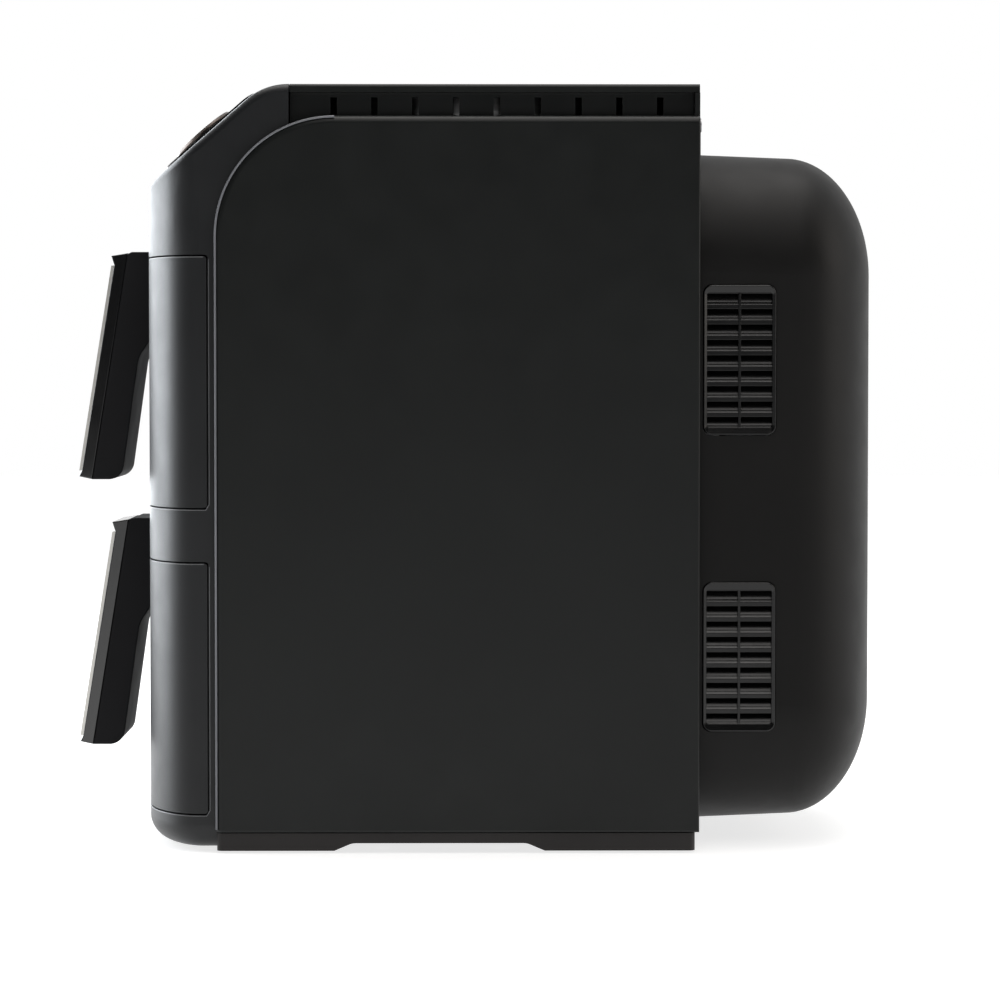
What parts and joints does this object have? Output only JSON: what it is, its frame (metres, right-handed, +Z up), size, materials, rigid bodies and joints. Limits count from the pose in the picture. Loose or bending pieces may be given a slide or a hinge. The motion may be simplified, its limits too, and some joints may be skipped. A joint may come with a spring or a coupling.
{
  "type": "two-drawer stacked air fryer",
  "caption": "Stacked two-drawer air fryer with pull-out pans, lift-out crisper plates and racks, rear fans, a sloping control panel with dial and keys, and a vented rear motor housing.",
  "frame": {"origin": "on the table, under the middle of the whole appliance's box", "axes": "drawers face -Y, motor housing towards +Y, +Z up, X across the width"},
  "size_m": [0.242, 0.41, 0.385],
  "materials": {
    "satin_shell": "satin",
    "matte_shell": "matte",
    "housing": "satin",
    "base": "matte",
    "gloss_black": "gloss",
    "display": "gloss",
    "trim_metal": "brushed",
    "sheet_steel": "satin",
    "nonstick": "matte",
    "wire": "polished",
    "silicone": "matte",
    "heater": "satin",
    "motor": "satin",
    "circuit": "satin",
    "wool": "matte",
    "screws": "satin",
    "aluminium": "satin"
  },
  "bodies": {
    "cabinet": {"front_fascia": "satin_shell", "side_panel_right": "matte_shell", "side_panel_left": "matte_shell", "top_cover": "matte_shell", "base_pan": "base", "rubber_feet": "silicone", "rear_plate": "matte_shell", "rear_housing": "housing", "vent_grilles_right": "housing", "vent_grilles_left": "housing", "cord_gland": "matte_shell", "case_screws": "screws", "control_bezel": "gloss_black", "display_window": "display", "display_board": "circuit", "power_board": "circuit", "cavity_insulation": "wool", "drawer_rails": "sheet_steel", "temperature_probes": "sheet_steel", "drawer_switches": "matte_shell", "lower_cavity_liner": "sheet_steel", "lower_fan_baffle": "sheet_steel", "lower_heater_coil": "heater", "lower_fan_chamber": "sheet_steel", "lower_fan_motor": "motor", "upper_cavity_liner": "sheet_steel", "upper_fan_baffle": "sheet_steel", "upper_heater_coil": "heater", "upper_fan_chamber": "sheet_steel", "upper_fan_motor": "motor"},
    "lower_fan": {"lower_impeller": "aluminium", "lower_fan_shaft": "screws", "lower_cooling_fan": "matte_shell"},
    "lower_drawer": {"lower_drawer_front": "satin_shell", "lower_drawer_back_panel": "matte_shell", "lower_drawer_pan": "nonstick", "lower_handle_grip": "matte_shell", "lower_handle_cover": "gloss_black", "lower_handle_trim": "trim_metal"},
    "lower_plate": {"lower_crisper_plate": "nonstick", "lower_plate_feet": "silicone"},
    "lower_rack": {"lower_meal_rack": "wire"},
    "upper_fan": {"upper_impeller": "aluminium", "upper_fan_shaft": "screws", "upper_cooling_fan": "matte_shell"},
    "upper_drawer": {"upper_drawer_front": "satin_shell", "upper_drawer_back_panel": "matte_shell", "upper_drawer_pan": "nonstick", "upper_handle_grip": "matte_shell", "upper_handle_cover": "gloss_black", "upper_handle_trim": "trim_metal"},
    "upper_plate": {"upper_crisper_plate": "nonstick", "upper_plate_feet": "silicone"},
    "upper_rack": {"upper_meal_rack": "wire"},
    "dial_plunger": {"dial_shaft": "sheet_steel"},
    "dial": {"dial_knob": "gloss_black"},
    "key_1": {"key_1": "gloss_black"},
    "key_2": {"key_2": "gloss_black"},
    "key_3": {"key_3": "gloss_black"},
    "key_4": {"key_4": "gloss_black"}
  },
  "joints": [
    {"name": "lower_drawer_slide", "type": "slide", "parent": "cabinet", "child": "lower_drawer", "axis": [0, -1, 0], "range_m": [0, 0.2]},
    {"name": "lower_plate_lift", "type": "slide", "parent": "lower_drawer", "child": "lower_plate", "axis": [0, 0, 1], "range_m": [0, 0.02]},
    {"name": "lower_rack_lift", "type": "slide", "parent": "lower_plate", "child": "lower_rack", "axis": [0, 0, 1], "range_m": [0, 0.025]},
    {"name": "lower_fan_spin", "type": "hinge", "parent": "cabinet", "child": "lower_fan", "pos_m": [0, 0.12, 0.081], "axis": [0, 1, 0], "continuous": true},
    {"name": "upper_drawer_slide", "type": "slide", "parent": "cabinet", "child": "upper_drawer", "axis": [0, -1, 0], "range_m": [0, 0.2]},
    {"name": "upper_plate_lift", "type": "slide", "parent": "upper_drawer", "child": "upper_plate", "axis": [0, 0, 1], "range_m": [0, 0.02]},
    {"name": "upper_rack_lift", "type": "slide", "parent": "upper_plate", "child": "upper_rack", "axis": [0, 0, 1], "range_m": [0, 0.025]},
    {"name": "upper_fan_spin", "type": "hinge", "parent": "cabinet", "child": "upper_fan", "pos_m": [0, 0.12, 0.234], "axis": [0, 1, 0], "continuous": true},
    {"name": "dial_press", "type": "slide", "parent": "cabinet", "child": "dial_plunger", "axis": [0, 0.6561, -0.7547], "range_m": [0, 0.0008], "stiffness_N_per_m": 700, "springref_m": -0.0006},
    {"name": "dial_turn", "type": "hinge", "parent": "dial_plunger", "child": "dial", "pos_m": [0, -0.1367, 0.3601], "axis": [0, -0.6561, 0.7547], "continuous": true},
    {"name": "key_1_press", "type": "slide", "parent": "cabinet", "child": "key_1", "axis": [0, 0.6561, -0.7547], "range_m": [0, 0.0008], "stiffness_N_per_m": 700, "springref_m": -0.0006},
    {"name": "key_2_press", "type": "slide", "parent": "cabinet", "child": "key_2", "axis": [0, 0.6561, -0.7547], "range_m": [0, 0.0008], "stiffness_N_per_m": 700, "springref_m": -0.0006},
    {"name": "key_3_press", "type": "slide", "parent": "cabinet", "child": "key_3", "axis": [0, 0.6561, -0.7547], "range_m": [0, 0.0008], "stiffness_N_per_m": 700, "springref_m": -0.0006},
    {"name": "key_4_press", "type": "slide", "parent": "cabinet", "child": "key_4", "axis": [0, 0.6561, -0.7547], "range_m": [0, 0.0008], "stiffness_N_per_m": 700, "springref_m": -0.0006}
  ]
}
